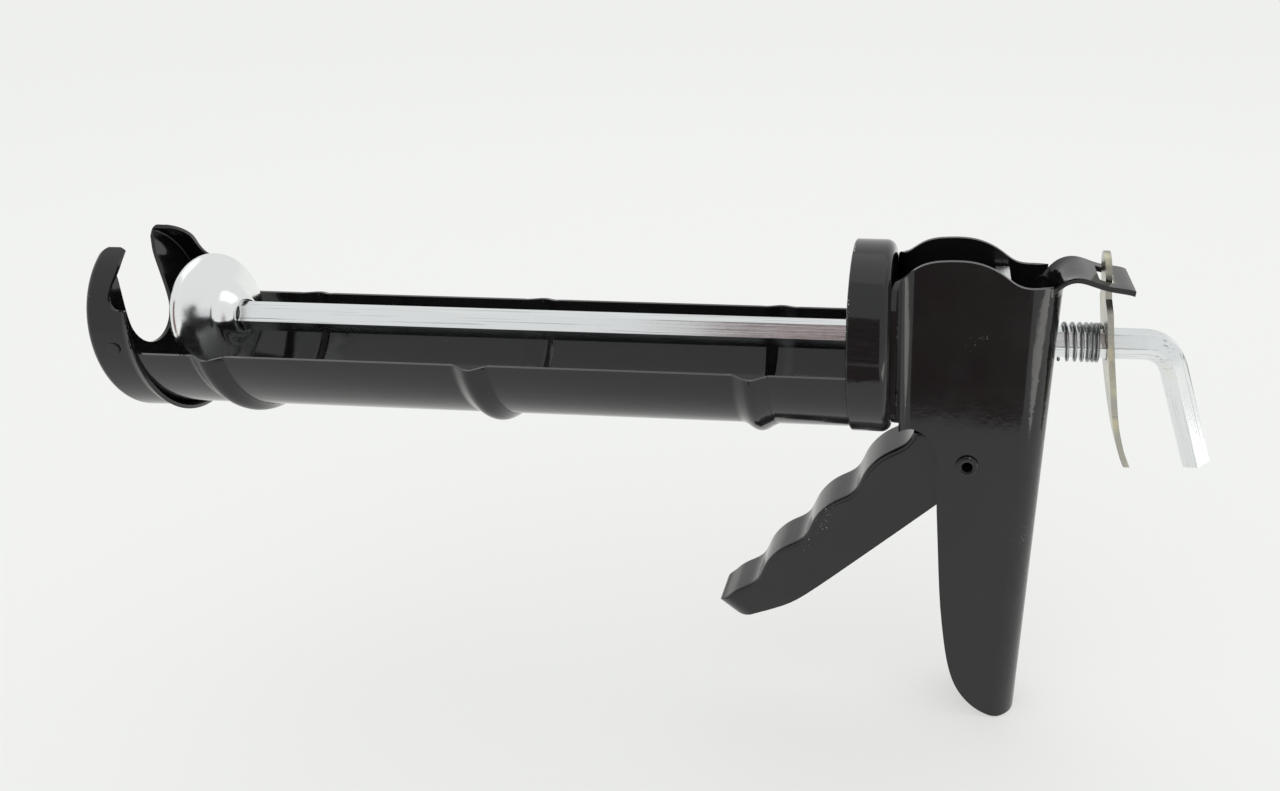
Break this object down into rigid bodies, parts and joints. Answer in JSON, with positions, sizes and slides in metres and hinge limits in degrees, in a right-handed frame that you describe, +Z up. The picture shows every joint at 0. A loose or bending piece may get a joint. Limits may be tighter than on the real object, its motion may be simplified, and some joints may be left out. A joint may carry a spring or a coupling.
{
  "type": "caulking gun",
  "caption": "Half-round cradle caulking gun: hooked hexagon push rod with piston, wavy squeeze trigger, thumb release lever and slotted front cup.",
  "frame": {"origin": "on the push rod's axis, at the rear face of the rear cup", "axes": "+X along the rod towards its hooked end (the nozzle end is at -X), +Z up (the handle hangs down), +Y across the gun"},
  "size_m": [0.341, 0.0615, 0.1662],
  "materials": {
    "black_enamel": "gloss black stove enamel on pressed steel sheet",
    "black_enamel_grip": "gloss black stove enamel, a little worn on the finger waves",
    "black_rivet": "black enamelled steel rivet",
    "zinc_bar": "bright zinc plate on drawn hexagon bar",
    "zinc_sheet": "bright zinc plate on pressed sheet",
    "zinc_plate": "yellowish zinc plate, sheared edges",
    "spring_steel": "oiled spring wire"
  },
  "bodies": {
    "frame": {"barrel_trough": "black_enamel", "front_cup": "black_enamel", "cup_rivets": "black_rivet", "rear_cup": "black_enamel", "flange_rivets": "black_rivet", "handle_frame": "black_enamel", "pivot_rivet": "black_rivet", "pivot_spacer": "zinc_plate", "drive_spring": "spring_steel", "drive_spring_seat": "zinc_plate", "release_spring": "spring_steel"},
    "rod": {"push_rod": "zinc_bar", "piston_disc": "zinc_sheet", "piston_washer": "zinc_plate", "piston_screw": "zinc_plate"},
    "trigger": {"trigger": "black_enamel_grip", "trigger_push_pin": "zinc_plate"},
    "drive": {"grip_plate_front": "zinc_plate", "grip_plate_rear": "zinc_plate"},
    "lever": {"release_lever": "zinc_plate"}
  },
  "joints": [
    {"name": "rod_slide", "type": "slide", "parent": "frame", "child": "rod", "axis": [1, 0, 0], "range_m": [-0.008, 0.195]},
    {"name": "trigger_squeeze", "type": "hinge", "parent": "frame", "child": "trigger", "pos_m": [0.0232, 0, -0.0369], "axis": [0, -1, 0], "range_deg": [0, 32], "stiffness_Nm_per_rad": 0.6, "springref_deg": -20.05},
    {"name": "plate_slide", "type": "slide", "parent": "frame", "child": "drive", "axis": [-1, 0, 0], "range_m": [0, 0.0138], "deforming": ["drive_spring"]},
    {"name": "release_tilt", "type": "hinge", "parent": "frame", "child": "lever", "pos_m": [0.0605, 0, 0.0195], "axis": [0, 1, 0], "range_deg": [0, 8], "stiffness_Nm_per_rad": 0.4, "springref_deg": -11.46, "deforming": ["release_spring"]}
  ],
  "couplings": [
    {"joint": "plate_slide", "follows": "trigger_squeeze", "m_per_rad": 0.02426}
  ]
}
